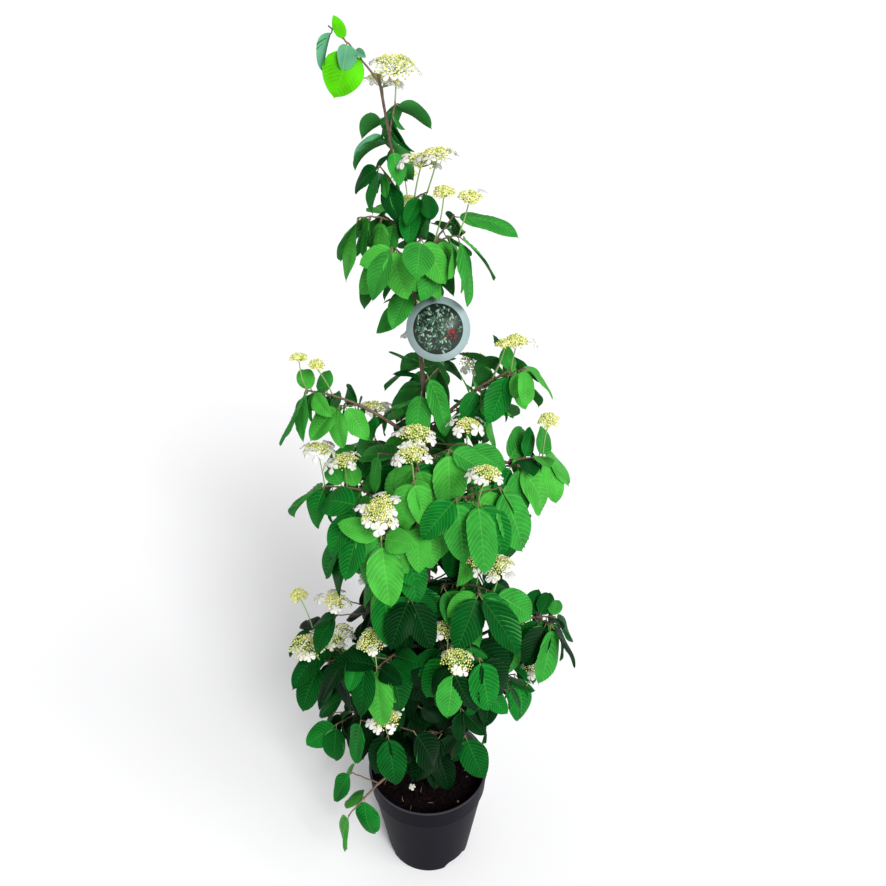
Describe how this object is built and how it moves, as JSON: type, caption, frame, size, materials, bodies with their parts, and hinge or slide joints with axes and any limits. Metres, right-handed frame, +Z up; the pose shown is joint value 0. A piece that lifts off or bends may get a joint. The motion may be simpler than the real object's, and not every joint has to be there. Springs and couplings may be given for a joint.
{
  "type": "potted doublefile viburnum",
  "caption": "Tall narrow flowering shrub with pleated leaves and flat white flower heads, standing in a round nursery pot of soil with a blank plant tag.",
  "frame": {"origin": "middle of the flat foot of the pot, on the surface that the pot stands on", "axes": "+Z up along the leader; +Y the far side of the plant; +X its right"},
  "size_m": [0.4311, 0.3961, 1.3934],
  "materials": {
    "pot": "satin",
    "soil": "matte",
    "bark": "matte",
    "foliage": "satin",
    "tag": "satin"
  },
  "bodies": {
    "root": {"pot": "pot", "soil": "soil", "leader": "bark", "stem_left": "bark", "stem_right": "bark", "stem_back": "bark", "tag_plate": "tag", "tag_strap": "tag", "bough_trailing": "bark", "foliage_trailing": "foliage", "foliage_low_left": "foliage", "foliage_low_front_left": "foliage", "foliage_low_front": "foliage", "foliage_low_right": "foliage", "foliage_low_back_right": "foliage", "foliage_low_back": "foliage", "bough_wide_left": "bark", "foliage_wide_left": "foliage", "bough_wide_front_left": "bark", "foliage_wide_front_left": "foliage", "bough_wide_front": "bark", "foliage_wide_front": "foliage", "foliage_wide_front_right": "foliage", "foliage_inner_front": "foliage", "foliage_inner_left": "foliage", "foliage_inner_right": "foliage", "bough_wide_right": "bark", "foliage_wide_right": "foliage", "bough_wide_back_left": "bark", "foliage_wide_back_left": "foliage", "bough_wide_back_right": "bark", "foliage_wide_back_right": "foliage", "bough_middle_left": "bark", "foliage_middle_left": "foliage", "bough_middle_front_left": "bark", "foliage_middle_front_left": "foliage", "bough_middle_front_right": "bark", "foliage_middle_front_right": "foliage", "bough_middle_right": "bark", "foliage_middle_right": "foliage", "bough_middle_back_left": "bark", "foliage_middle_back_left": "foliage", "bough_middle_back_right": "bark", "foliage_middle_back_right": "foliage", "bough_high_left": "bark", "foliage_high_left": "foliage", "foliage_high_front": "foliage", "bough_high_right": "bark", "foliage_high_right": "foliage", "bough_high_back": "bark", "foliage_high_back": "foliage", "foliage_upper_right": "foliage", "foliage_upper_front": "foliage", "foliage_upper_left": "foliage", "foliage_upper_back": "foliage", "foliage_top_right": "foliage", "foliage_top_left": "foliage", "foliage_top_back": "foliage", "foliage_top_tip": "foliage", "foliage_top_shoot": "foliage"}
  },
  "joints": []
}
